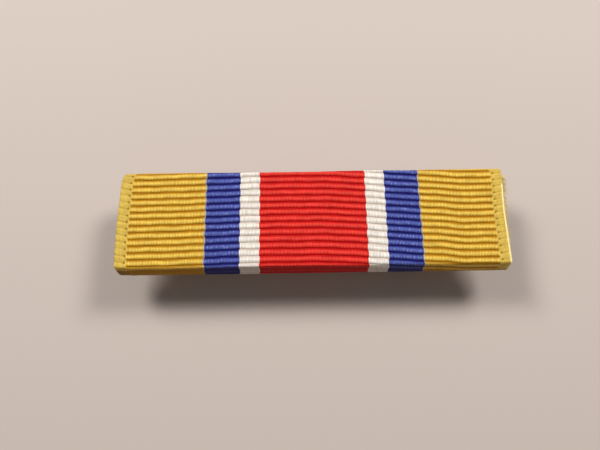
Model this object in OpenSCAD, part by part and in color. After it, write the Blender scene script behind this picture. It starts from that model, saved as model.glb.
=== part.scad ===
// A single service ribbon bar. A woven ribbon is wrapped round a slide-on sheet
// carrier. The carrier slides along a flat mounting bar, and a brooch pin, its hinge
// and its safety catch are soldered to the bar's back.
// Millimetres. +X runs along the bar, +Y across it, +Z out of the ribbon's face.
// The origin is under the middle of the bar, level with the feet of hinge and catch.

/* [Ribbon] */
// Woven width of the ribbon, which is the length of the whole bar
ribbon_width = 34.93; // [34.6:0.01:38]
// Depth of the bar, from fold to fold
bar_depth = 9.53; // [9.2:0.01:11]
// Thickness of the woven ribbon
ribbon_thickness = 0.3; // [0.2:0.05:0.35]
// Gap on the back between the ribbon's two cut ends
ribbon_back_gap = 4.8; // [4.6:0.1:5.4]

/* [Carrier] */
// Sheet thickness of the slide-on carrier
carrier_sheet = 0.25; // [0.2:0.05:0.3]
// How far the carrier stops short of the ribbon's selvage at each end
carrier_setback = 0.15; // [0.1:0.05:0.3]
// Opening between the carrier's two folded lips
carrier_mouth = 4.2; // [4.1:0.1:4.5]

/* [Mounting bar] */
// Length of the mounting bar
mount_length = 34.2; // [31:0.1:34.4]
// Width of the mounting bar
mount_width = 7.8; // [6.5:0.1:7.9]
// Thickness of the mounting bar
mount_sheet = 0.4; // [0.3:0.05:0.45]
// Radius of the mounting bar's corners
mount_corner = 0.9; // [0.3:0.1:1.5]
// Running gap between the mounting bar and the carrier, above and below
slide_gap = 0.025; // [0.02:0.005:0.05]
// Thickness of the solder under the hinge and the catch
solder_thickness = 0.08; // [0.05:0.01:0.1]
// How far the solder shows round their feet
solder_margin = 0.2; // [0.1:0.05:0.25]

/* [Brooch pin] */
// Distance from the middle of the bar to the hinge
hinge_x = 14.4; // [13.8:0.1:14.6]
// Distance from the middle of the bar to the middle of the catch
catch_x = 11.6; // [10.5:0.1:11.8]
// Distance from the bar's back to the pin's axis
pin_drop = 2.5; // [2.45:0.05:3]
// Diameter of the pin's stem
stem_d = 0.9; // [0.8:0.05:0.95]
// Diameter of the stem's thicker root
root_d = 1.1; // [1:0.05:1.1]
// Thickness of the pin's flattened eye
eye_thickness = 1.1; // [1.1:0.02:1.16]
// Diameter of the pin's flattened eye
eye_d = 2.2; // [2:0.1:2.4]

/* [Hinge] */
// Sheet thickness of the hinge bracket
bracket_sheet = 0.4; // [0.3:0.05:0.45]
// Gap between the bracket's two ears
ear_gap = 1.3; // [1.25:0.05:1.4]
// Length of the bracket's foot along the bar
hinge_foot_length = 3.2; // [3:0.1:3.4]
// Width of the feet of the hinge and of the catch
foot_width = 3.5; // [3:0.1:3.6]
// Diameter of the rivet's shank
rivet_d = 1.0; // [0.8:0.05:1.1]
// Diameter of the rivet's heads
rivet_head_d = 1.8; // [1.5:0.1:2]

/* [Catch] */
// Outer diameter of the catch's rolled housing
housing_d = 3.9; // [3.8:0.05:4]
// Sheet thickness of the housing
housing_sheet = 0.45; // [0.4:0.05:0.45]
// Length of the housing along the bar
housing_length = 2.2; // [1.8:0.1:2.4]
// Half the angle of the housing's opening, in degrees
opening_half = 35; // [33:1:38]
// Bore of the locking roller
roller_bore = 1.2; // [1.15:0.05:1.3]
// Width of the roller's slot
slot_width = 1.1; // [1.05:0.05:1.15]
// Reach of the roller's thumb tab from its axis
tab_reach = 2.3; // [2:0.05:2.35]

/* [Hidden] */

EPS = 0.01;

// The ribbon unit's thickness, from the outside in and out again
channel_height = mount_sheet + 2 * slide_gap;
unit_thickness = channel_height + 2 * (carrier_sheet + ribbon_thickness);

// The housing's two rounded lips stand lowest, and the hinge's ears reach as low
housing_mid_r = (housing_d - housing_sheet) / 2;
pin_axis_z = housing_mid_r * cos(opening_half) + housing_sheet / 2;
mount_back_z = pin_axis_z + pin_drop;
unit_mid_z = mount_back_z + mount_sheet / 2;
ear_r = pin_axis_z;

// Corners of the two feet, of the solder round them, and the shoulders beside the ears
foot_corner = 0.3;
solder_corner = 0.35;
ear_shoulder = 0.3;

// The rivet's heads are low domes: their height, and the width of their flat tops
rivet_head_height = 0.22;
rivet_flat_share = 0.6;
rivet_rim_share = 0.4;

// The roller turns in the housing with its collars just outside it
roller_gap = 0.05;
roller_r = housing_d / 2 - housing_sheet - roller_gap;
collar_r = roller_r + 0.15;
collar_gap = 0.05;
neck_width = 1.8;
plain_collar = 0.35;
tab_collar = 0.6;
tab_thickness = 0.5;
tab_angle = -20;

// The pin's stem narrows behind its root and where it enters the catch, and ends in a point
// beyond it. All are distances from the hinge.
root_end = 2.7;
root_taper = 1;
taper_start = hinge_x + catch_x - housing_length / 2 - 1.5;
point_start = taper_start + 3.4;
point_end = point_start + 2.4;
tapered_d = 0.7;
tip_d = 0.08;
rivet_gap = 0.05;

// Extrudes an outline drawn across the bar, in Y and Z, along the bar
module along_bar(length) {
    rotate([90, 0, 90]) linear_extrude(height = length, center = true) children();
}

// Extrudes an outline drawn along the bar, in X and Z, across the bar
module across_bar(width) {
    rotate([90, 0, 0]) linear_extrude(height = width, center = true) children();
}

// A flat strip's section with half-round edges
module stadium(width, thickness) {
    flat = width - thickness;
    translate([-flat / 2, -thickness / 2]) square([flat, thickness]);
    for (side = [-1, 1]) translate([side * flat / 2, 0]) circle(d = thickness, $fn = 48);
}

// A strip bent into a C: one stadium inside another, with a mouth along the back
module bent_strip(width, height, sheet, mouth) {
    difference() {
        stadium(width, height);
        stadium(width - 2 * sheet, height - 2 * sheet);
        translate([-mouth / 2, -height]) square([mouth, height]);
    }
}

// A flat plate with rounded corners, its underside at Z = 0
module rounded_plate(length, width, thickness, corner) {
    inner_length = length - 2 * corner;
    inner_width = width - 2 * corner;
    linear_extrude(height = thickness) {
        square([length, inner_width], center = true);
        square([inner_length, width], center = true);
        for (x = [-1, 1], y = [-1, 1])
            translate([x * inner_length / 2, y * inner_width / 2]) circle(r = corner, $fn = 32);
    }
}

module at_hinge() translate([-hinge_x, 0, pin_axis_z]) children();

module at_catch() translate([catch_x, 0, pin_axis_z]) children();

module ribbon() {
    color("goldenrod")
    translate([0, 0, unit_mid_z])
    along_bar(ribbon_width)
    bent_strip(bar_depth, unit_thickness, ribbon_thickness, ribbon_back_gap);
}

module ribbon_carrier() {
    color("lightsteelblue")
    translate([0, 0, unit_mid_z])
    along_bar(ribbon_width - 2 * carrier_setback)
    bent_strip(
        bar_depth - 2 * ribbon_thickness, unit_thickness - 2 * ribbon_thickness,
        carrier_sheet, carrier_mouth
    );
}

module mounting_bar() {
    color("darkkhaki")
    translate([0, 0, mount_back_z])
    rounded_plate(mount_length, mount_width, mount_sheet, mount_corner);
}

// The film of solder that squeezes out round a foot of this length
module solder_pad(foot_length) {
    color("gainsboro")
    translate([0, 0, pin_drop - solder_thickness])
    rounded_plate(
        foot_length + 2 * solder_margin, foot_width + 2 * solder_margin,
        solder_thickness, solder_corner
    );
}

// A foot with two round ears folded down from it, drilled for the rivet
module hinge_bracket() {
    foot_top = pin_drop - solder_thickness;
    hole_r = rivet_d / 2 + EPS;
    color("silver")
    at_hinge() difference() {
        union() {
            translate([0, 0, foot_top - bracket_sheet])
                rounded_plate(hinge_foot_length, foot_width, bracket_sheet, foot_corner);
            for (side = [-1, 1])
                translate([0, side * (ear_gap + bracket_sheet) / 2, 0])
                    across_bar(bracket_sheet) {
                        circle(r = ear_r, $fn = 64);
                        translate([-hinge_foot_length / 2 + ear_shoulder, 0])
                            square([hinge_foot_length - 2 * ear_shoulder, foot_top - EPS]);
                    }
        }
        rotate([90, 0, 0]) cylinder(r = hole_r, h = 2 * foot_width, center = true, $fn = 48);
    }
}

// A shank through both ears with a low domed head at each end
module hinge_rivet() {
    shank_end = ear_gap / 2 + bracket_sheet;
    rim_end = shank_end + rivet_head_height * rivet_rim_share;
    head_end = shank_end + rivet_head_height;
    head_r = rivet_head_d / 2;
    flat_r = head_r * rivet_flat_share;
    color("dimgray")
    at_hinge() rotate([90, 0, 0]) rotate_extrude($fn = 48) polygon([
        [0, -head_end], [flat_r, -head_end], [head_r, -rim_end], [head_r, -shank_end],
        [rivet_d / 2, -shank_end], [rivet_d / 2, shank_end],
        [head_r, shank_end], [head_r, rim_end], [flat_r, head_end], [0, head_end]
    ]);
}

// A wire with a flattened eye, a thick root, a plain stem, a taper and a point
module pin_stem() {
    color("silver")
    at_hinge() difference() {
        union() {
            rotate([90, 0, 0]) cylinder(d = eye_d, h = eye_thickness, center = true, $fn = 64);
            rotate([0, 90, 0]) rotate_extrude($fn = 48) polygon([
                [0, 0], [root_d / 2, 0], [root_d / 2, root_end - root_taper], [stem_d / 2, root_end],
                [stem_d / 2, taper_start], [tapered_d / 2, point_start],
                [tip_d / 2, point_end], [0, point_end]
            ]);
        }
        rotate([90, 0, 0])
            cylinder(d = rivet_d + 2 * rivet_gap, h = 2 * eye_thickness, center = true, $fn = 48);
    }
}

// A C rolled from one sheet, open downwards, on a foot
module catch_housing() {
    foot_top = pin_drop - solder_thickness;
    lip_x = housing_mid_r * sin(opening_half);
    lip_z = housing_mid_r * cos(opening_half);
    color("silver")
    at_catch() along_bar(housing_length) {
        difference() {
            circle(d = housing_d, $fn = 96);
            circle(d = housing_d - 2 * housing_sheet, $fn = 96);
            polygon([
                [0, 0], [-housing_d * sin(opening_half), -housing_d * cos(opening_half)],
                [housing_d * sin(opening_half), -housing_d * cos(opening_half)]
            ]);
        }
        for (side = [-1, 1])
            translate([side * lip_x, -lip_z]) circle(d = housing_sheet, $fn = 32);
        translate([-neck_width / 2, housing_mid_r])
            square([neck_width, foot_top - housing_mid_r]);
        translate([-foot_width / 2, foot_top - bracket_sheet]) square([foot_width, bracket_sheet]);
    }
}

// A slotted roller with a collar at each end, one of them with a thumb tab
module catch_roller() {
    half = housing_length / 2 + collar_gap;
    tab_round = tab_thickness / 2;
    tab_length = tab_reach - tab_round;
    slot_length = 3 * housing_length;
    color("silver")
    at_catch() difference() {
        union() {
            rotate([0, 90, 0]) rotate_extrude($fn = 64) polygon([
                [0, -half - plain_collar], [collar_r, -half - plain_collar], [collar_r, -half],
                [roller_r, -half], [roller_r, half], [collar_r, half],
                [collar_r, half + tab_collar], [0, half + tab_collar]
            ]);
            translate([half + tab_collar / 2, 0, 0]) rotate([tab_angle, 0, 0]) along_bar(tab_collar) {
                translate([0, -tab_round]) square([tab_length, tab_thickness]);
                translate([tab_length, 0]) circle(r = tab_round, $fn = 32);
            }
        }
        rotate([0, 90, 0]) cylinder(d = roller_bore, h = slot_length, center = true, $fn = 48);
        translate([-slot_length / 2, -slot_width / 2, -housing_d])
            cube([slot_length, slot_width, housing_d]);
    }
}

module hinge_solder() at_hinge() solder_pad(hinge_foot_length);

module catch_solder() at_catch() solder_pad(housing_length);

ribbon();
ribbon_carrier();
mounting_bar();
hinge_solder();
hinge_bracket();
hinge_rivet();
pin_stem();
catch_solder();
catch_housing();
catch_roller();
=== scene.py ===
import math
import random

import bpy
import numpy as np
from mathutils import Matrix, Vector


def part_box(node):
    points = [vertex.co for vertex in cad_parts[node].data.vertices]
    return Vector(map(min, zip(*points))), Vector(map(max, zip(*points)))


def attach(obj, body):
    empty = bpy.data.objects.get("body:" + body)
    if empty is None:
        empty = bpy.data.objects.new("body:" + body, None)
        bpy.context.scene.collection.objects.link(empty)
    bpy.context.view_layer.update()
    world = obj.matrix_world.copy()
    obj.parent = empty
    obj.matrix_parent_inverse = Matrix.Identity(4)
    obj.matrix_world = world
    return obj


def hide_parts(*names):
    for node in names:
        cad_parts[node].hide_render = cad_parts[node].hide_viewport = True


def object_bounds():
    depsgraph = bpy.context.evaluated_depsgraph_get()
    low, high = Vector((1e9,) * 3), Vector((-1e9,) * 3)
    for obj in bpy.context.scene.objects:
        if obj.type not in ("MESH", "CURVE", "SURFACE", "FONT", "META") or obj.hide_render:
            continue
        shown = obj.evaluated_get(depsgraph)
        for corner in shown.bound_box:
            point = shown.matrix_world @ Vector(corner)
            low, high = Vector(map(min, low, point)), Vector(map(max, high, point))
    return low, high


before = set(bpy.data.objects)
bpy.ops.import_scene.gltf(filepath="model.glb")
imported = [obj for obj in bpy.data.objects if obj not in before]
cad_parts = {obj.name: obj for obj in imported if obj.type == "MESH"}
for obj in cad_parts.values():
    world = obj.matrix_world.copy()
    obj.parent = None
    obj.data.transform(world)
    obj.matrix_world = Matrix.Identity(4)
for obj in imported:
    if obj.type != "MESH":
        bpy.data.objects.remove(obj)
cad_low, cad_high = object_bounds()
scene = bpy.context.scene
MM = 0.001


# The bar lies face up and is seen from nearly overhead, a little to the left of its
# middle, by a compact camera at the wide end of its zoom.
ELEVATION = math.radians(72.8)
TURN = math.radians(-0.87)
DISTANCE = 48.7 * MM
LENS = 32.4
SENSOR = 36
face_z = cad_high.z
look_at = Vector((-1.14 * MM, -0.6 * MM, face_z))
towards_camera = Vector((
    math.sin(TURN) * math.cos(ELEVATION),
    -math.cos(TURN) * math.cos(ELEVATION),
    math.sin(ELEVATION),
))

camera_data = bpy.data.cameras.new("camera")
camera_data.lens = LENS
camera_data.sensor_width = SENSOR
camera_data.clip_start = 1 * MM
camera_data.clip_end = 10
camera = bpy.data.objects.new("camera", camera_data)
camera.location = look_at + towards_camera * DISTANCE
camera.rotation_euler = (-towards_camera).to_track_quat("-Z", "Y").to_euler()
scene.collection.objects.link(camera)
scene.camera = camera
scene.view_settings.view_transform = "Standard"


# A pale matt board with two soft lamps above it, one to the left and one to the right,
# both a little beyond the bar, a weak warm one low in front, and a dim even fill all round.
FILL_COLOUR = (0.93, 0.96, 1.0, 1)
FILL_STRENGTH = 0.16
LAMP_SIZE = 70 * MM
SIDE_POWER, SIDE_COLOUR = 0.352, (1.0, 1.0, 1.0)
FRONT_POWER, FRONT_COLOUR = 0.015, (1.0, 0.84, 0.76)
BOARD_COLOUR = (0.50, 0.42, 0.37, 1)
BOARD_ROUGHNESS = 0.8
BOARD_HALF = 1.5


def add_node(tree, kind, inputs=None, **settings):
    """A shader node with its settings made and its inputs filled or linked."""
    made = tree.nodes.new("ShaderNode" + kind)
    for name, value in settings.items():
        setattr(made, name, value)
    for name, value in (inputs or {}).items():
        if isinstance(value, bpy.types.NodeSocket):
            tree.links.new(value, made.inputs[name])
        else:
            made.inputs[name].default_value = value
    return made


def new_material(name):
    """An empty material with a Principled BSDF on its output."""
    material = bpy.data.materials.new(name)
    material.use_nodes = True
    tree = material.node_tree
    tree.nodes.clear()
    shader = add_node(tree, "BsdfPrincipled")
    add_node(tree, "OutputMaterial", {"Surface": shader.outputs["BSDF"]})
    return material, tree, shader


def add_lamp(name, place, power, colour):
    """A square area lamp that faces the middle of the bar."""
    data = bpy.data.lights.new(name, "AREA")
    data.size = LAMP_SIZE
    data.energy = power
    data.color = colour
    lamp = bpy.data.objects.new(name, data)
    lamp.location = place
    lamp.rotation_euler = (Vector((0, 0, face_z)) - lamp.location).to_track_quat("-Z", "Y").to_euler()
    scene.collection.objects.link(lamp)


add_lamp("lamp_left", Vector((-105, 98, 160)) * MM, SIDE_POWER, SIDE_COLOUR)
add_lamp("lamp_right", Vector((112, 98, 160)) * MM, SIDE_POWER, SIDE_COLOUR)
add_lamp("lamp_front", Vector((0, -150, 60)) * MM, FRONT_POWER, FRONT_COLOUR)

world = bpy.data.worlds.new("fill")
world.use_nodes = True
background = world.node_tree.nodes["Background"]
background.inputs["Color"].default_value = FILL_COLOUR
background.inputs["Strength"].default_value = FILL_STRENGTH
scene.world = world

board_mesh = bpy.data.meshes.new("board")
board_mesh.from_pydata(
    [(x * BOARD_HALF, y * BOARD_HALF, 0) for x, y in ((-1, -1), (1, -1), (1, 1), (-1, 1))],
    [], [(0, 1, 2, 3)],
)
board = bpy.data.objects.new("board", board_mesh)
scene.collection.objects.link(board)
board_material, tree, shader = new_material("matt_board")
shader.inputs["Base Color"].default_value = BOARD_COLOUR
shader.inputs["Roughness"].default_value = BOARD_ROUGHNESS
board_mesh.materials.append(board_material)


# The ribbon is a grosgrain: fine silky warp threads, in seven stripes, pass over and
# under thick weft cords, which makes ribs along the bar. It is wrapped tight round both
# long edges of the carrier and stuck down behind, with its selvages at the bar's ends.

# The weave, in millimetres. The fullness is the power of a rib's rounded profile.
CLOTH = 0.3
DEEPEST_GROOVE = 0.24
RIB_PITCH = 0.63
RIB_RELIEF = 0.095
RIB_FULLNESS = 2.6
THREAD_PITCH = 0.127
SAG, SAG_PER_MM, SAG_PER_RIB = 0.006, 0.9, 0.5

# The selvages: a flatter band at each end, with a row of notches just inside its edge. Its
# cords lie a step off the ribs and slant, both counted in ribs, and stand less high.
SELVAGE = 1.05
SELVAGE_STEP = 0.43
SELVAGE_SLANT = 0.3
SELVAGE_SAG = 0.1
LEFT_CORD, RIGHT_CORD = 0.3, 0.12
NOTCH = SELVAGE - 0.15
NOTCH_DEPTH = 0.12
NOTCH_WIDTH = 0.08
NOTCH_LENGTH = 0.14

# The wrap. The near side leans out from under the face, is pulled tight and starts this far
# from the face's middle. The far side is nearly upright.
NEAR_LEAN = math.radians(19.5)
NEAR_TURN = 4.3
NEAR_TIGHTNESS = 0.8
FAR_LEAN = math.radians(2)
UPPER_CORNER = 0.3
LOWER_CORNER = 0.35
BACK_GAP = 4.8
BACK_FLAT = 0.5

# The ends: the cloth stands a little past the carrier, bellies out at the left, and is drawn
# in round each corner, with this reach and by this much at the far and at the near one.
SPREAD_FROM = 9.8
LOOSENESS = 0.12
BELLY = 0.14
SCALLOP = 0.015
TAPER = 0.012
LEFT_PULLS = ((0.9, 0.5), (0.8, 0.42))
RIGHT_PULLS = ((1.2, 0.17), (0.6, 0.2))
RIGHT_SPREAD = 0.2

# The cords' waves. A drift is a distance and where along the bar it starts and ends. A small
# wave is a height, and its turn in radians for each millimetre along and each rib across.
FIRST_DRIFT = -0.166
DRIFTS = ((0.229, -15.6, -3.8), (-0.85, -0.4, 13.5), (-0.186, 11.2, 13.8))
WAVES = ((0.012, 1.7, 0.25), (0.008, 3.1, -0.9), (0.009, 2.3, 2.4), (0.006, 5.3, 4.1))

# The mesh: where its rows lie within a rib, its columns' width, and how it rounds the cut
# edges, as distances from the end and depths below the outer face.
STEPS_ALONG_RIB = (0, 0.06, 0.14, 0.25, 0.38, 0.5, 0.62, 0.75, 0.86, 0.94)
LEAST_STEP = 0.03
COLUMN_WIDTH = 0.105
FINE_COLUMN = 0.04
ROUND_EDGE = ((0.0, 0.15), (0.015, 0.09), (0.06, 0.03), (0.12, 0.0))
INNER_EDGE = ((0.015, 0.21), (0.06, CLOTH))

ribbon_low, ribbon_high = (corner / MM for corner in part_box("ribbon"))
ribbon_width = ribbon_high.x - ribbon_low.x
half_depth = (ribbon_high.y - ribbon_low.y) / 2
half_height = (ribbon_high.z - ribbon_low.z) / 2
middle_z = (ribbon_high.z + ribbon_low.z) / 2


def fold_path(lean):
    """Half the wrap as a line in Y and Z: from the middle of the face, round the upper corner,
    down a side that leans out, round the lower corner and back to the cut end. Gives the
    distance along the line, the line, and its outward direction."""
    corner_change = UPPER_CORNER - LOWER_CORNER
    low_y = half_depth - LOWER_CORNER
    low_z = LOWER_CORNER - half_height
    top_z = half_height - UPPER_CORNER
    side_run = (top_z - low_z + corner_change * math.sin(lean)) * math.tan(lean)
    top_y = low_y - side_run - corner_change * math.cos(lean)
    top_turn = np.linspace(0, math.pi / 2 - lean, 25)
    low_turn = np.linspace(math.pi / 2 - lean, math.pi, 35)
    y = np.concatenate([
        [0, top_y / 2], top_y + UPPER_CORNER * np.sin(top_turn),
        low_y + LOWER_CORNER * np.sin(low_turn), [BACK_GAP / 2 + BACK_FLAT, BACK_GAP / 2],
    ])
    z = np.concatenate([
        [half_height, half_height], top_z + UPPER_CORNER * np.cos(top_turn),
        low_z + LOWER_CORNER * np.cos(low_turn), [-half_height, -half_height],
    ])
    along = np.concatenate([[0], np.cumsum(np.hypot(np.diff(y), np.diff(z)))])
    return along, y, z, -np.gradient(z, along), np.gradient(y, along)


near_path = fold_path(NEAR_LEAN)
far_path = fold_path(FAR_LEAN)
near_half = near_path[0][-1]
far_half = far_path[0][-1]


def ease(value, start, end):
    """0 below start, 1 above end, and a smooth step between them."""
    share = np.clip((value - start) / (end - start), 0, 1)
    return share * share * (3 - 2 * share)


def wrap(along, depth):
    """The Y and Z of a point that far along the ribbon from the middle of its face, and that
    deep below its crests. Positive is towards the near fold."""
    near = [np.interp(along, near_path[0], values) for values in near_path[1:]]
    far = [np.interp(-along, far_path[0], values) for values in far_path[1:]]
    y, z, out_y, out_z = (np.where(along < 0, a, b) for a, b in zip(far, near))
    side = np.where(along < 0, 1.0, -1.0)
    return side * (y - depth * out_y), middle_z + z - depth * out_z


def cord_shift(x, cord):
    """How far towards the far fold a weft cord lies at x: none was beaten in quite straight."""
    drift = sum(distance * ease(x, start, end) for distance, start, end in DRIFTS)
    small = sum(height * np.sin(per_mm * x + per_rib * cord) for height, per_mm, per_rib in WAVES)
    return FIRST_DRIFT + drift + small


def cloth_grid():
    """The mesh's rows, counted in ribs, and its columns, each with its place from the left end
    and its depth. The last columns run back along the inner face."""
    first_rib = -far_half / RIB_PITCH
    last_rib = near_half / RIB_PITCH
    numbers = range(math.floor(first_rib), math.ceil(last_rib) + 1)
    rows = [number + step - 0.5 for number in numbers for step in STEPS_ALONG_RIB]
    rows = [row for row in rows if first_rib + LEAST_STEP < row < last_rib - LEAST_STEP]

    body_from = SELVAGE + 0.2
    body_columns = round((ribbon_width - 2 * body_from) / COLUMN_WIDTH)
    body = np.linspace(body_from, ribbon_width - body_from, body_columns)
    edge = np.concatenate([
        np.arange(0.22, 0.75, COLUMN_WIDTH), np.arange(SELVAGE - 0.25, SELVAGE + 0.15, FINE_COLUMN),
    ])
    columns = list(ROUND_EDGE)
    columns += [(place, 0.0) for place in np.concatenate([edge, body, ribbon_width - edge[::-1]])]
    columns += [(ribbon_width - place, deep) for place, deep in reversed(ROUND_EDGE)]
    columns += [(ribbon_width - place, deep) for place, deep in INNER_EDGE]
    columns += reversed(INNER_EDGE)
    return np.array([first_rib] + rows + [last_rib]), np.array(columns)


def groove_depth(x, rib, to_end, place_in_rib, along):
    """How far the outer face lies below the crests: between the ribs and the selvage's cords,
    in the notches, and where the cloth sags. The near side is drawn almost flat."""
    body = ease(to_end, SELVAGE - 0.03, SELVAGE + 0.09)
    edge_cord = 1 - ease(to_end, SELVAGE - 0.14, SELVAGE - 0.04)
    edge_cord = edge_cord * np.where(x < 0, LEFT_CORD, RIGHT_CORD)
    relief = RIB_RELIEF * (edge_cord + body) * np.abs(2 * place_in_rib) ** RIB_FULLNESS
    notch = NOTCH_DEPTH * np.exp(-((to_end - NOTCH) / NOTCH_WIDTH) ** 2)
    notch = notch * np.exp(-((np.abs(place_in_rib) - 0.5) / NOTCH_LENGTH) ** 2)
    drawn_tight = 1 - NEAR_TIGHTNESS * ease(along, NEAR_TURN - 0.1, NEAR_TURN + 0.2)
    sag = SAG * (1 + np.sin(SAG_PER_MM * x + SAG_PER_RIB * rib)) + SELVAGE_SAG * edge_cord
    return (relief + notch) * drawn_tight + sag


def corner_pull(y, pulls):
    """How far a selvage is drawn in where the ribbon turns round the far and near corners."""
    pulled = 0
    for beyond, (reach, pull) in zip((np.maximum(y, 0), np.maximum(-y, 0)), pulls):
        share = np.clip((beyond - (half_depth - reach)) / reach, 0, 1)
        pulled = pulled + pull * (1 - np.sqrt(1 - share ** 2))
    return pulled


def end_shift(x, y, place_in_rib):
    """How far along the bar the cloth is moved towards its ends, or away from them."""
    scallop = SCALLOP * np.cos(2 * math.pi * place_in_rib)
    belly = BELLY * (1 - (y / half_depth) ** 2)
    left = corner_pull(y, LEFT_PULLS) + TAPER * y - scallop - belly - LOOSENESS
    right = corner_pull(y, RIGHT_PULLS) + TAPER * y - LOOSENESS - RIGHT_SPREAD * ease(y, 0, half_depth)
    half_width = ribbon_width / 2
    return left * ease(-x, SPREAD_FROM, half_width) - right * ease(x, SPREAD_FROM, half_width)


def ribbon_mesh():
    """One closed sheet: each row is a loop over the outer face and back along the inner one,
    and the rows follow the ribs from one cut end to the other."""
    row_places, columns = cloth_grid()
    edge_depth = columns[:, 1]
    outer_face = np.arange(len(columns)) < len(columns) - 2 * len(INNER_EDGE)
    rib, from_left = np.meshgrid(row_places, columns[:, 0], indexing="ij")
    x = from_left - ribbon_width / 2
    to_end = np.minimum(from_left, ribbon_width - from_left)
    in_selvage = 1 - ease(to_end, SELVAGE - 0.06, SELVAGE)
    slanted_rib = rib - in_selvage * (SELVAGE_STEP - SELVAGE_SLANT * (SELVAGE - to_end))
    place_in_rib = slanted_rib - np.floor(slanted_rib + 0.5)
    on_face = 1 - ease(np.abs(rib) * RIB_PITCH, half_depth + 0.4, min(near_half, far_half))
    along = rib * RIB_PITCH - on_face * cord_shift(x, np.round(rib))

    woven = edge_depth + groove_depth(x, rib, to_end, place_in_rib, along)
    depth = np.where(outer_face, np.minimum(woven, DEEPEST_GROOVE), edge_depth)
    y, z = wrap(along, depth)
    x = x + end_shift(x, y, place_in_rib)

    rows, loop = x.shape
    points = np.stack([x, y, z], -1).reshape(-1, 3) * MM
    faces = []
    for row in range(rows - 1):
        for column in range(loop):
            beside = (column + 1) % loop
            faces.append((
                row * loop + column, (row + 1) * loop + column,
                (row + 1) * loop + beside, row * loop + beside,
            ))
    faces.append(tuple(range(loop)))
    faces.append(tuple(reversed(range((rows - 1) * loop, rows * loop))))
    mesh = bpy.data.meshes.new("ribbon_cloth")
    mesh.from_pydata(points.tolist(), [], faces)
    mesh.polygons.foreach_set("use_smooth", [True] * len(faces))
    weave = mesh.attributes.new("weave", "FLOAT_VECTOR", "POINT")
    weave_at = np.stack([from_left, slanted_rib, to_end], -1).reshape(-1, 3)
    weave.data.foreach_set("vector", weave_at.astype(np.float32).ravel())
    mesh.update()
    return mesh


def maths(tree, operation, *values):
    """The result of a Math node on numbers or sockets."""
    return add_node(tree, "Math", dict(enumerate(values)), operation=operation).outputs[0]


def fade(tree, value, start, end, first=0.0, last=1.0, shape="LINEAR"):
    """A number that goes from first, where the value is start, to last, where it is end."""
    limits = {0: value, 1: start, 2: end, 3: first, 4: last}
    return add_node(tree, "MapRange", limits, interpolation_type=shape).outputs[0]


def blend(tree, share, colour, other):
    """A colour with this share of the other mixed in."""
    return add_node(tree, "Mix", {0: share, 6: colour, 7: other}, data_type="RGBA").outputs[2]


def new_group(name, inputs, outputs):
    """A shader node group with these float or colour inputs and outputs."""
    group = bpy.data.node_groups.new(name, "ShaderNodeTree")
    for socket, kind, value in inputs:
        made = group.interface.new_socket(socket, in_out="INPUT", socket_type="NodeSocket" + kind)
        if value is not None:
            made.default_value = value
    for socket, kind in outputs:
        group.interface.new_socket(socket, in_out="OUTPUT", socket_type="NodeSocket" + kind)
    start = group.nodes.new("NodeGroupInput")
    end = group.nodes.new("NodeGroupOutput")
    return group, start.outputs, end.inputs


# Of the places where a thread tops a rib, this share gets a painted glint, a highlight painted
# into its colour, over this much of the rib's width to either side. A thread's height is its
# rib's and a little of its own.
GLINT_SHARE = 0.45
GLINT_REACH = 0.16
VALLEY_HEIGHT = 0.35
THREAD_UNEVENNESS = 0.35


def thread_group():
    """The warp threads over the weft cords: where each thread is, how round it is, how high
    it rides, how its dye varies and where a painted glint sits, from a place in millimetres
    across and ribs along."""
    group, given, made = new_group(
        "woven_threads",
        [("Across", "Float", 0.0), ("Rib", "Float", 0.0), ("Thread Pitch", "Float", THREAD_PITCH)],
        [("Thread Centre", "Float"), ("Crest", "Float"), ("Roundness", "Float"),
         ("Dye", "Float"), ("Glint", "Float"), ("Height", "Float")],
    )
    shifted = maths(group, "ADD", given["Rib"], 0.5)
    rib_number = maths(group, "FLOOR", shifted)
    rib_place = maths(group, "SUBTRACT", shifted, rib_number)
    odd = maths(group, "FLOORED_MODULO", rib_number, 2.0)
    threads = maths(group, "DIVIDE", given["Across"], given["Thread Pitch"])
    threads = maths(group, "ADD", threads, maths(group, "MULTIPLY", odd, 0.5))
    thread_number = maths(group, "FLOOR", threads)
    thread_place = maths(group, "SUBTRACT", threads, thread_number)
    roundness = maths(group, "SINE", maths(group, "MULTIPLY", thread_place, math.pi))
    crest = maths(group, "SINE", maths(group, "MULTIPLY", rib_place, math.pi))
    which = add_node(group, "CombineXYZ", {0: thread_number, 1: rib_number, 2: 0.5})
    dye = add_node(group, "TexWhiteNoise", {"Vector": which.outputs[0]}, noise_dimensions="3D")
    glint_at = add_node(group, "CombineXYZ", {0: thread_number, 1: rib_number, 2: 7.5})
    glint = add_node(group, "TexWhiteNoise", {"Vector": glint_at.outputs[0]}, noise_dimensions="3D")
    strong = maths(group, "GREATER_THAN", glint.outputs["Value"], 1 - GLINT_SHARE)
    from_glint = maths(group, "ABSOLUTE", maths(group, "SUBTRACT", rib_place, glint.outputs["Color"]))
    strong = maths(group, "MULTIPLY", strong, maths(group, "LESS_THAN", from_glint, GLINT_REACH))
    centre = maths(group, "ADD", thread_number, 0.5)
    centre = maths(group, "SUBTRACT", centre, maths(group, "MULTIPLY", odd, 0.5))
    centre = maths(group, "MULTIPLY", centre, given["Thread Pitch"])
    height = maths(group, "MULTIPLY", roundness, maths(group, "ADD", VALLEY_HEIGHT, crest))
    unevenness = maths(group, "MULTIPLY", dye.outputs["Value"], THREAD_UNEVENNESS)
    group.links.new(centre, made["Thread Centre"])
    group.links.new(crest, made["Crest"])
    group.links.new(roundness, made["Roundness"])
    group.links.new(dye.outputs["Value"], made["Dye"])
    # The glint is a painted highlight, strongest on the crest.
    group.links.new(maths(group, "MULTIPLY", strong, crest), made["Glint"])
    group.links.new(maths(group, "ADD", height, unevenness), made["Height"])
    return group


woven_threads = thread_group()
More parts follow.
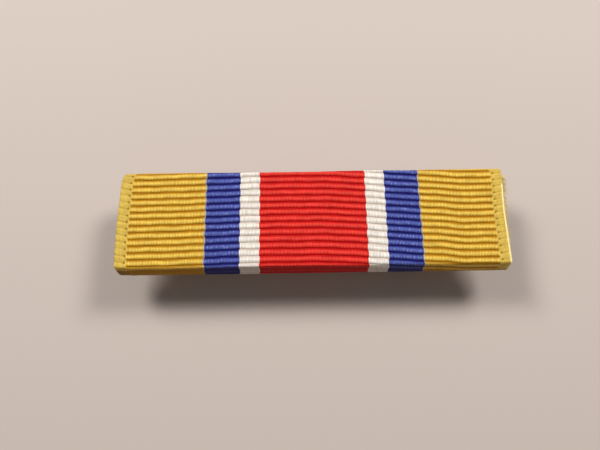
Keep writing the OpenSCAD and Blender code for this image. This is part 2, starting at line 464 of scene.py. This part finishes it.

# Each dye as it looks on the crests, and in the grooves between the ribs, where the
# darker colour is painted shade.
GOLD = (0.92, 0.62, 0.104), (0.38, 0.165, 0.001)
BLUE = (0.105, 0.14, 0.46), (0.007, 0.006, 0.105)
WHITE = (0.93, 0.86, 0.77), (0.62, 0.53, 0.45)
RED = (0.89, 0.055, 0.035), (0.44, 0.001, 0.001)
PALE = (0.62, 0.50, 0.28), (0.34, 0.24, 0.12)
RED_WIDTH, WHITE_WIDTH, BLUE_WIDTH, PALE_WIDTH = 9.77, 1.69, 3.18, 0.07

# How the dyes show. The limits are crest heights: at the first and below it a place has the
# groove's colour, which is painted shade, and at the second the crest's. Serration lets the
# painted shade up between the threads. The line depth is its share on the selvage's fine
# lines away from the notches, and the near shade its share on the near side.
GROOVE_LIMITS = 0.16, 1.02
LINE_LIMITS = 0.1, 0.45
SERRATION = 0.6
LINE_DEPTH = 0.35
NEAR_SHADE = 0.94
# Painted highlight: glinting thread tops in the blue stripes get this pale blue, at this share.
PAINTED_BLUE_GLINT, PAINTED_BLUE_GLINT_SHARE = (0.42, 0.5, 0.85, 1), 0.26
SLUB_TONES = 0.86, 1.12
THREAD_TONES = 0.9, 1.06
SELVAGE_TONE = 0.7
SILK_ROUGHNESS = 0.5
SILK_SHEEN = 0.12
THREAD_RELIEF = 0.03

# A painted highlight: where the cut at the right end catches the lamp, a pale bead is painted
# into its colour, from the first of these ribs to the second.
BEAD_HIGHLIGHT_COLOUR, BEAD_SHARE = (1.0, 0.86, 0.42, 1), 0.85
BEAD_WIDTH = 0.2
BEAD_FROM, BEAD_TO = -6.7, 7.0


def stripe_ramp(tree, place, shade):
    """The seven stripes, with a pale thread laid in where gold meets blue. Shade 0 is the
    crests' colour and 1 the grooves', which is painted shade."""
    middle = ribbon_width / 2
    to_white = RED_WIDTH / 2
    to_blue = to_white + WHITE_WIDTH
    to_pale = to_blue + BLUE_WIDTH
    to_gold = to_pale + PALE_WIDTH
    stops = [
        (0, GOLD), (middle - to_gold, PALE), (middle - to_pale, BLUE), (middle - to_blue, WHITE),
        (middle - to_white, RED), (middle + to_white, WHITE), (middle + to_blue, BLUE),
        (middle + to_pale, PALE), (middle + to_gold, GOLD),
    ]
    ramp = add_node(tree, "ValToRGB", {"Fac": maths(tree, "DIVIDE", place, ribbon_width)})
    ramp.color_ramp.interpolation = "CONSTANT"
    elements = ramp.color_ramp.elements
    while len(elements) < len(stops):
        elements.new(1.0)
    for element, (at, dye) in zip(elements, stops):
        element.position = at / ribbon_width
        element.color = (*dye[shade], 1)
    return ramp.outputs["Color"]


def painted_groove_shade(tree, threads, across_rib, to_end, body):
    """How much of the grooves' colour, which is painted shade, a place has: between ribs, on the
    fine lines of the selvage and its notches, and all over the near side, which is painted as
    lying in the bar's own shade."""
    between = maths(tree, "SUBTRACT", 1.0, threads["Roundness"])
    seen = maths(tree, "SUBTRACT", threads["Crest"], maths(tree, "MULTIPLY", between, SERRATION))
    groove = fade(tree, seen, *GROOVE_LIMITS, 1.0, 0.0, shape="SMOOTHSTEP")
    groove = maths(tree, "MULTIPLY", groove, body)
    # Painted shade in the recesses: the grooves' colour on the selvage's fine lines between its cords,
    # strongest at the notches.
    edge_cord = fade(tree, to_end, SELVAGE - 0.14, SELVAGE - 0.05, 1.0, 0.0)
    line = maths(tree, "MULTIPLY", fade(tree, threads["Crest"], *LINE_LIMITS, 1.0, 0.0), edge_cord)
    from_notch = maths(tree, "ABSOLUTE", maths(tree, "SUBTRACT", to_end, NOTCH))
    notch = fade(tree, from_notch, 0.06, 0.16, 1.0, LINE_DEPTH)
    groove = maths(tree, "MAXIMUM", groove, maths(tree, "MULTIPLY", line, notch))
    # Painted shade: the near side takes most of the grooves' colour, as it lies in the bar's own shade.
    turn = NEAR_TURN / RIB_PITCH
    return maths(tree, "MAXIMUM", groove, fade(tree, across_rib, turn, turn + 0.3, 0.0, NEAR_SHADE))


def ribbon_material():
    """Dyed thread: bright on the crests, with painted shade in the grooves and on the near side,
    painted glints in the blue, a painted highlight on the right cut, and a silky sheen.
    """
    material, tree, shader = new_material("grosgrain_ribbon")
    weave = add_node(tree, "Attribute", attribute_name="weave").outputs["Vector"]
    from_left, across_rib, to_end = add_node(tree, "SeparateXYZ", {0: weave}).outputs
    threads = add_node(tree, "Group", node_tree=woven_threads)
    tree.links.new(from_left, threads.inputs["Across"])
    tree.links.new(across_rib, threads.inputs["Rib"])
    threads.inputs["Thread Pitch"].default_value = THREAD_PITCH
    threads = threads.outputs
    body = fade(tree, to_end, SELVAGE - 0.01, SELVAGE + 0.08)

    colour = stripe_ramp(tree, threads["Thread Centre"], 0)
    # The grooves' colour of each stripe, darker and deeper than the crests', is painted shade.
    deep = stripe_ramp(tree, threads["Thread Centre"], 1)
    # Painted highlight: glinting thread tops in the blue stripes get a pale blue mixed into their colour.
    from_middle = maths(tree, "ABSOLUTE", maths(tree, "SUBTRACT", from_left, ribbon_width / 2))
    to_blue_middle = (RED_WIDTH + BLUE_WIDTH) / 2 + WHITE_WIDTH
    in_blue = maths(tree, "COMPARE", from_middle, to_blue_middle, BLUE_WIDTH / 2)
    painted_glint = maths(tree, "MULTIPLY", threads["Glint"], maths(tree, "MULTIPLY", in_blue, PAINTED_BLUE_GLINT_SHARE))
    colour = blend(tree, painted_glint, colour, PAINTED_BLUE_GLINT)
    # Painted shade: the grooves' colour is mixed in between the ribs and threads, on the selvage's lines
    # and notches, and over the near side.
    colour = blend(tree, painted_groove_shade(tree, threads, across_rib, to_end, body), colour, deep)

    slub_at = add_node(tree, "VectorMath", {0: weave, 1: (0.55, 2.3, 0.0)}, operation="MULTIPLY").outputs[0]
    slub = add_node(tree, "TexNoise", {"Vector": slub_at, "Scale": 1.0, "Detail": 3.0}).outputs[0]
    tone = maths(tree, "MULTIPLY", fade(tree, threads["Dye"], 0.0, 1.0, *THREAD_TONES),
                 fade(tree, slub, 0.3, 0.7, *SLUB_TONES))
    tone = maths(tree, "MULTIPLY", tone, fade(tree, body, 0.0, 1.0, SELVAGE_TONE, 1.0))
    colour = add_node(tree, "HueSaturation", {"Value": tone, "Color": colour}).outputs[0]

    # Painted highlight: a pale bead mixed into the colour along the right cut.
    at_cut = maths(tree, "GREATER_THAN", from_left, ribbon_width - BEAD_WIDTH)
    in_reach = maths(tree, "COMPARE", across_rib, (BEAD_FROM + BEAD_TO) / 2, (BEAD_TO - BEAD_FROM) / 2)
    bead_highlight = maths(tree, "MULTIPLY", maths(tree, "MULTIPLY", at_cut, in_reach), BEAD_SHARE)
    tree.links.new(blend(tree, bead_highlight, colour, BEAD_HIGHLIGHT_COLOUR), shader.inputs["Base Color"])
    shader.inputs["Roughness"].default_value = SILK_ROUGHNESS
    shader.inputs["Specular IOR Level"].default_value = SILK_SHEEN
    relief = {"Height": threads["Height"], "Strength": 0.8, "Distance": THREAD_RELIEF * MM}
    tree.links.new(add_node(tree, "Bump", relief).outputs[0], shader.inputs["Normal"])
    return material


ribbon = bpy.data.objects.new("ribbon_cloth", ribbon_mesh())
scene.collection.objects.link(ribbon)
ribbon.data.materials.append(ribbon_material())
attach(ribbon, "ribbon_unit")
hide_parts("ribbon")


# Loose fibres stand out from the worn selvages, most of them at the right end. They are the
# ribbon's own gold threads, frayed by handling, and are still rooted in the cloth's edge.
FIBRE_THICKNESS = 0.024
FIBRE_TAPER = 0.6
FIBRE_STEPS = 5
FIBRE_CORNERS = 3
FIBRE_BEND = 0.5
FIBRE_DROOP = -0.6
FIBRE_LIGHT = (0.80, 0.60, 0.14, 1)
FIBRE_SHADE = (0.42, 0.30, 0.04, 1)
FIBRE_ROUGHNESS = 0.55

# Each frayed end: its side, how many fibres it has, from where to where they stand, and how
# long the longest is. They crowd towards the far corner, and are longest there.
FRAYED_ENDS = ((1, 400, -2.6, 3.8, 0.6), (-1, 60, -3.8, 3.8, 0.2))
CROWDING = 1.7
fibre_random = random.Random(11)


def add_fibre(points, faces, root, direction, length):
    """A three-sided hair that starts at root and droops as it goes."""
    first = len(points)
    bend = Vector((fibre_random.uniform(-1, 1), fibre_random.uniform(-1, 1), FIBRE_DROOP)) * FIBRE_BEND
    for step in range(FIBRE_STEPS + 1):
        share = step / FIBRE_STEPS
        centre = root + (direction + bend * share) * length * share
        radius = FIBRE_THICKNESS / 2 * (1 - FIBRE_TAPER * share)
        for corner in range(FIBRE_CORNERS):
            angle = 2 * math.pi * corner / FIBRE_CORNERS
            spread = Vector((0, math.cos(angle), math.sin(angle))) * radius
            points.append((centre + spread) * MM)
    for step in range(FIBRE_STEPS):
        for corner in range(FIBRE_CORNERS):
            low = first + FIBRE_CORNERS * step
            high = low + FIBRE_CORNERS
            beside = (corner + 1) % FIBRE_CORNERS
            faces.append((low + corner, low + beside, high + beside, high + corner))
    last = first + FIBRE_CORNERS * FIBRE_STEPS
    faces.append((first, first + 2, first + 1))
    faces.append((last, last + 1, last + 2))


fibre_points, fibre_faces = [], []
for side, count, nearest, furthest, longest in FRAYED_ENDS:
    for _ in range(count):
        share = fibre_random.random() ** CROWDING
        y = furthest - (furthest - nearest) * share
        z = middle_z + half_height - fibre_random.uniform(0.1, 0.9) * CLOTH
        out = Vector((side, fibre_random.uniform(-0.9, 0.9), fibre_random.uniform(-0.25, 0.1)))
        root = Vector((side * (ribbon_width / 2 + LOOSENESS), y, z))
        length = fibre_random.uniform(0.35, 1) * longest * (1 - 0.6 * share)
        add_fibre(fibre_points, fibre_faces, root, out, length)
fibre_mesh = bpy.data.meshes.new("selvage_fibres")
fibre_mesh.from_pydata(fibre_points, [], fibre_faces)
fibres = bpy.data.objects.new("selvage_fibres", fibre_mesh)
scene.collection.objects.link(fibres)

fibre_material, tree, shader = new_material("loose_gold_thread")
place = add_node(tree, "TexCoord").outputs["Object"]
dye = add_node(tree, "TexNoise", {"Vector": place, "Scale": 900.0, "Detail": 2.0}).outputs[0]
tree.links.new(blend(tree, dye, FIBRE_LIGHT, FIBRE_SHADE), shader.inputs["Base Color"])
shader.inputs["Roughness"].default_value = FIBRE_ROUGHNESS
fibre_mesh.materials.append(fibre_material)
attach(fibres, "ribbon_unit")


# The carrier is a strip of thin tinned steel, folded over at both long edges into a flat
# channel. The ribbon is glued round it, so only its ends and the lips behind show.

# Wear on the metals: patches where the polish has dulled, small dark specks, and streaks
# where the metal was drawn or rubbed one way. The scales are per millimetre.
PATCH_SCALE, PATCH_LEVEL, PATCH_CONTRAST = 0.9, 0.72, 2.2
SPECK_SCALE, SPECK_LIMITS, SPECK_SHARE, SPECK_DEPTH = 14.0, (0.62, 0.75), 0.5, 0.2
STREAK_TONES = 0.84, 1.08
DULL_ROUGHNESS, GRAIN_ROUGHNESS = 0.22, 0.14
METAL_RELIEF = 0.01


def worn_metal_group():
    """Handled metal: a grain drawn out one way, and patches where the polish has dulled."""
    group, given, made = new_group(
        "worn_metal",
        [("Stretch", "Vector", None), ("Grain", "Float", 0.5), ("Tarnish", "Float", 0.3),
         ("Clean", "Color", (0.8, 0.8, 0.8, 1)), ("Dull", "Color", (0.4, 0.4, 0.4, 1)),
         ("Polish", "Float", 0.3)],
        [("Color", "Color"), ("Roughness", "Float"), ("Height", "Float")],
    )
    place = add_node(group, "TexCoord").outputs["Object"]
    place = add_node(group, "VectorMath", {0: place, "Scale": 1 / MM}, operation="SCALE").outputs[0]
    drawn = add_node(group, "VectorMath", {0: place, 1: given["Stretch"]}, operation="MULTIPLY").outputs[0]
    grain = add_node(group, "TexNoise", {"Vector": drawn, "Scale": 1.0, "Detail": 5.0}).outputs[0]
    patch = add_node(group, "TexNoise", {
        "Vector": place, "Scale": PATCH_SCALE, "Detail": 7.0, "Roughness": 0.65,
    }).outputs[0]
    bare = maths(group, "SUBTRACT", PATCH_LEVEL, given["Tarnish"])
    patch = maths(group, "MULTIPLY", maths(group, "SUBTRACT", patch, bare), PATCH_CONTRAST)
    patch = add_node(group, "Clamp", {0: patch}).outputs[0]
    speck = add_node(group, "TexNoise", {"Vector": place, "Scale": SPECK_SCALE, "Detail": 3.0}).outputs[0]
    speck = fade(group, speck, *SPECK_LIMITS, 0.0, SPECK_SHARE)
    dulled = maths(group, "MINIMUM", maths(group, "ADD", patch, speck), 1.0)
    streak = fade(group, grain, 0.3, 0.7, *STREAK_TONES)
    colour = blend(group, dulled, given["Clean"], given["Dull"])
    colour = add_node(group, "HueSaturation", {"Value": streak, "Color": colour}).outputs[0]
    rough = maths(group, "ADD", given["Polish"], maths(group, "MULTIPLY", dulled, DULL_ROUGHNESS))
    rough = maths(group, "ADD", rough, maths(group, "MULTIPLY", grain, GRAIN_ROUGHNESS))
    height = maths(group, "MULTIPLY", grain, given["Grain"])
    height = maths(group, "SUBTRACT", height, maths(group, "MULTIPLY", speck, SPECK_DEPTH))
    group.links.new(colour, made["Color"])
    group.links.new(rough, made["Roughness"])
    group.links.new(height, made["Height"])
    return group


worn_metal = worn_metal_group()


def metal(name, clean, dull, polish, stretch, grain, tarnish):
    """A metal finish from the group, with its own colours, polish and direction of grain."""
    material, tree, shader = new_material(name)
    finish = add_node(tree, "Group", node_tree=worn_metal)
    for socket, value in (("Stretch", stretch), ("Grain", grain), ("Tarnish", tarnish),
                          ("Clean", (*clean, 1)), ("Dull", (*dull, 1)), ("Polish", polish)):
        finish.inputs[socket].default_value = value
    tree.links.new(finish.outputs["Color"], shader.inputs["Base Color"])
    tree.links.new(finish.outputs["Roughness"], shader.inputs["Roughness"])
    shader.inputs["Metallic"].default_value = 1.0
    relief = {"Height": finish.outputs["Height"], "Strength": 0.7, "Distance": METAL_RELIEF * MM}
    tree.links.new(add_node(tree, "Bump", relief).outputs[0], shader.inputs["Normal"])
    return material


def finish_node(name, material, edge):
    """Gives a CAD node its metal, and rounds its sharp edges by that many millimetres."""
    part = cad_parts[name]
    for slot in part.material_slots:
        slot.material = material
    weld = part.modifiers.new("weld", "WELD")
    weld.merge_threshold = 0.0005 * MM
    bevel = part.modifiers.new("rounded_edges", "BEVEL")
    bevel.width = edge * MM
    bevel.segments = 2
    bevel.limit_method = "ANGLE"
    bevel.angle_limit = math.radians(35)
    part.modifiers.new("even_shading", "WEIGHTED_NORMAL")


finish_node("ribbon_carrier", metal(
    "tinned_steel", clean=(0.66, 0.66, 0.64), dull=(0.36, 0.34, 0.31), polish=0.28,
    stretch=(0.4, 9.0, 9.0), grain=0.5, tarnish=0.3,
), edge=0.03)


# The mounting bar is a flat strip of rolled brass with its corners nibbled round. The
# ribbon units slide along it, which leaves fine scratches lengthwise.
finish_node("mounting_bar", metal(
    "rolled_brass", clean=(0.84, 0.64, 0.30), dull=(0.42, 0.27, 0.11), polish=0.24,
    stretch=(0.25, 14.0, 14.0), grain=0.8, tarnish=0.24,
), edge=0.05)


# Two films of soft solder hold the feet of the hinge and of the catch. They flowed out a
# little all round and set dull and slightly lumpy.
soft_solder = metal(
    "soft_solder", clean=(0.56, 0.57, 0.58), dull=(0.28, 0.28, 0.28), polish=0.4,
    stretch=(3.0, 3.0, 3.0), grain=1.6, tarnish=0.34,
)
finish_node("hinge_solder", soft_solder, edge=0.03)
finish_node("catch_solder", soft_solder, edge=0.03)


# The hinge bracket is stamped from brass sheet: a foot with two round ears folded off it.
# The foot is soldered to the mounting bar, and the ears carry the rivet.
stamped_brass = metal(
    "stamped_brass", clean=(0.80, 0.58, 0.25), dull=(0.34, 0.21, 0.09), polish=0.3,
    stretch=(5.0, 5.0, 5.0), grain=0.5, tarnish=0.32,
)
finish_node("hinge_bracket", stamped_brass, edge=0.06)


# The rivet is a plain steel pin, pushed through both ears and headed over at each side.
# The brooch pin turns on its shank between them.
finish_node("hinge_rivet", metal(
    "headed_steel", clean=(0.60, 0.60, 0.60), dull=(0.25, 0.24, 0.23), polish=0.3,
    stretch=(6.0, 1.0, 6.0), grain=0.6, tarnish=0.3,
), edge=0.05)


# The pin is drawn and polished steel wire, flattened and pierced at one end for the rivet
# and ground to a point at the other.
finish_node("pin_stem", metal(
    "drawn_wire", clean=(0.76, 0.76, 0.77), dull=(0.44, 0.43, 0.42), polish=0.12,
    stretch=(0.5, 16.0, 16.0), grain=0.35, tarnish=0.14,
), edge=0.04)


# The catch is a C rolled from brass strip on its own foot, open towards the garment. The
# foot is soldered to the mounting bar, and the roller turns inside the C.
finish_node("catch_housing", stamped_brass, edge=0.05)


# The roller is turned from brass rod and slotted. A thumb rubs its tab bright as it turns
# the slot away from the opening, which locks the pin in.
finish_node("catch_roller", metal(
    "turned_brass", clean=(0.88, 0.70, 0.36), dull=(0.45, 0.30, 0.13), polish=0.18,
    stretch=(22.0, 0.6, 0.6), grain=0.7, tarnish=0.18,
), edge=0.05)
